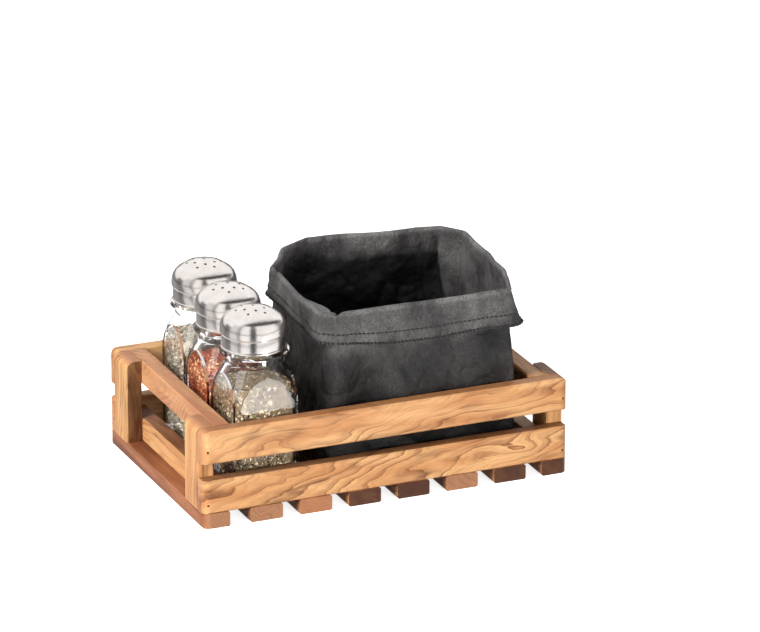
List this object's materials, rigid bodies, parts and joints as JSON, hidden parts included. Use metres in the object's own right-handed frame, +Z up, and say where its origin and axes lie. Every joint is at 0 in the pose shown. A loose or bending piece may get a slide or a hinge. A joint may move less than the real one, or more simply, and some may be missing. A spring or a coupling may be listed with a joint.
{
  "type": "condiment caddy",
  "caption": "Slatted olive-wood table crate holding square glass shakers with pierced steel dome lids and an open dark paper bag with a stitched, folded cuff.",
  "frame": {"origin": "on the table, under the middle of the crate's plan", "axes": "+Z up, +X along the long slats from the shakers towards the bag, +Y from the front long slats to the back ones"},
  "size_m": [0.25, 0.165, 0.1322],
  "materials": {
    "floor": "sanded, oiled",
    "slats": "sanded, oiled",
    "posts": "sanded, oiled",
    "rails": "sanded, oiled",
    "brads": "dull",
    "bottles": "clear, polished",
    "lids": "bright stainless",
    "herbs": "dried leaf flakes",
    "chili": "dried flakes",
    "pepper": "coarse ground",
    "bag": "washable paper, matt, creased",
    "cuff": "washable paper, matt, creased"
  },
  "bodies": {
    "crate": {"floor_slat_1": "floor", "floor_slat_2": "floor", "floor_slat_3": "floor", "floor_slat_4": "floor", "floor_slat_5": "floor", "floor_slat_6": "floor", "floor_slat_7": "floor", "floor_slat_8": "floor", "slat_front_upper": "slats", "slat_front_lower": "slats", "slat_back_upper": "slats", "slat_back_lower": "slats", "post_front_left": "posts", "post_front_right": "posts", "post_back_left": "posts", "post_back_right": "posts", "rail_left_upper": "rails", "rail_left_lower": "rails", "rail_right_upper": "rails", "rail_right_lower": "rails", "crate_brads": "brads"},
    "shaker_front": {"bottle_front": "bottles", "fill_front": "herbs"},
    "lid_front": {"lid_front": "lids"},
    "shaker_middle": {"bottle_middle": "bottles", "fill_middle": "chili"},
    "lid_middle": {"lid_middle": "lids"},
    "shaker_rear": {"bottle_rear": "bottles", "fill_rear": "pepper"},
    "lid_rear": {"lid_rear": "lids"},
    "bag": {"bag_body": "bag", "bag_cuff": "cuff"}
  },
  "joints": [
    {"name": "shaker_front_lift", "type": "slide", "parent": "crate", "child": "shaker_front", "axis": [0, 0, 1], "range_m": [0, 0.07]},
    {"name": "lid_front_off", "type": "slide", "parent": "shaker_front", "child": "lid_front", "axis": [0, 0, 1], "range_m": [0, 0.02]},
    {"name": "shaker_middle_lift", "type": "slide", "parent": "crate", "child": "shaker_middle", "axis": [0, 0, 1], "range_m": [0, 0.07]},
    {"name": "lid_middle_off", "type": "slide", "parent": "shaker_middle", "child": "lid_middle", "axis": [0, 0, 1], "range_m": [0, 0.02]},
    {"name": "shaker_rear_lift", "type": "slide", "parent": "crate", "child": "shaker_rear", "axis": [0, 0, 1], "range_m": [0, 0.07]},
    {"name": "lid_rear_off", "type": "slide", "parent": "shaker_rear", "child": "lid_rear", "axis": [0, 0, 1], "range_m": [0, 0.02]},
    {"name": "bag_lift", "type": "slide", "parent": "crate", "child": "bag", "axis": [0, 0, 1], "range_m": [0, 0.07]}
  ]
}
